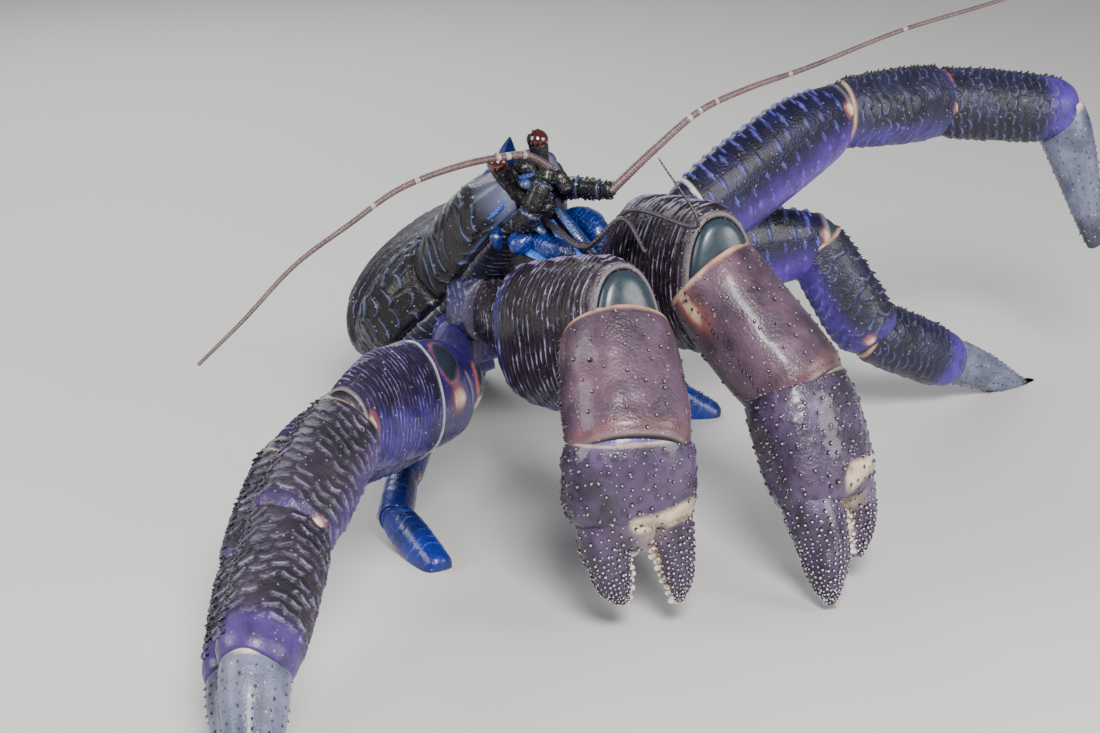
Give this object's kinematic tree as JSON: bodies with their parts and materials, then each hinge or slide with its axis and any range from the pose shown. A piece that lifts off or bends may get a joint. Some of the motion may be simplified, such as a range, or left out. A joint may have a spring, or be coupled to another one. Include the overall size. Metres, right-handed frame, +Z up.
{
  "type": "coconut crab",
  "caption": "Life-size still coconut crab rearing on its legs, claws hanging forward, one front walking leg reaching up.",
  "frame": {"origin": "on the floor under the middle of the whole crab's bounding box", "axes": "+Z up, -Y towards the viewer whom the crab faces, +X to that viewer's right"},
  "size_m": [0.3851, 0.4844, 0.2116],
  "materials": {
    "carapace_shell": "near-black purple-brown shell with pale blue-white growth lines, semi-gloss",
    "underside_shell": "dark violet-blue shell, semi-gloss",
    "tail_shell": "purple-brown plates on leathery tan-brown skin",
    "leg_shell": "violet shell with pale ridges and orange-white joints, semi-gloss",
    "claw_shell": "mauve shell with dark tubercles and cream finger bases, semi-gloss",
    "blue_shell": "cobalt blue shell, glossy",
    "stalk_shell": "black-purple granular shell",
    "feeler": "brown-pink ringed horn, satin",
    "cornea": "dark red, wet gloss"
  },
  "bodies": {
    "root": {"head_shield": "carapace_shell", "heart_shield": "carapace_shell", "gill_cover_left": "carapace_shell", "gill_cover_right": "carapace_shell", "thorax_underside": "underside_shell", "abdomen": "tail_shell", "eye_left": "cornea", "eyestalk_left": "stalk_shell", "antenna_base_left": "stalk_shell", "antenna_whip_left": "feeler", "antennule_left": "feeler", "maxilliped_left": "blue_shell", "leg_1_left_ischium": "leg_shell", "leg_1_left_merus": "leg_shell", "leg_1_left_carpus": "leg_shell", "leg_1_left_propodus": "leg_shell", "leg_1_left_dactylus": "leg_shell", "leg_2_left_ischium": "leg_shell", "leg_2_left_merus": "leg_shell", "leg_2_left_carpus": "leg_shell", "leg_2_left_propodus": "leg_shell", "leg_2_left_dactylus": "leg_shell", "leg_3_left_merus": "blue_shell", "leg_3_left_carpus": "blue_shell", "leg_3_left_claw": "blue_shell", "claw_left_ischium": "claw_shell", "claw_left_merus": "claw_shell", "claw_left_carpus": "claw_shell", "claw_left_palm": "claw_shell", "claw_left_finger": "claw_shell", "eye_right": "cornea", "eyestalk_right": "stalk_shell", "antenna_base_right": "stalk_shell", "antenna_whip_right": "feeler", "antennule_right": "feeler", "maxilliped_right": "blue_shell", "leg_1_right_ischium": "leg_shell", "leg_1_right_merus": "leg_shell", "leg_1_right_carpus": "leg_shell", "leg_1_right_propodus": "leg_shell", "leg_1_right_dactylus": "leg_shell", "leg_2_right_ischium": "leg_shell", "leg_2_right_merus": "leg_shell", "leg_2_right_carpus": "leg_shell", "leg_2_right_propodus": "leg_shell", "leg_2_right_dactylus": "leg_shell", "leg_3_right_merus": "blue_shell", "leg_3_right_carpus": "blue_shell", "leg_3_right_claw": "blue_shell", "claw_right_ischium": "claw_shell", "claw_right_merus": "claw_shell", "claw_right_carpus": "claw_shell", "claw_right_palm": "claw_shell", "claw_right_finger": "claw_shell"}
  },
  "joints": []
}
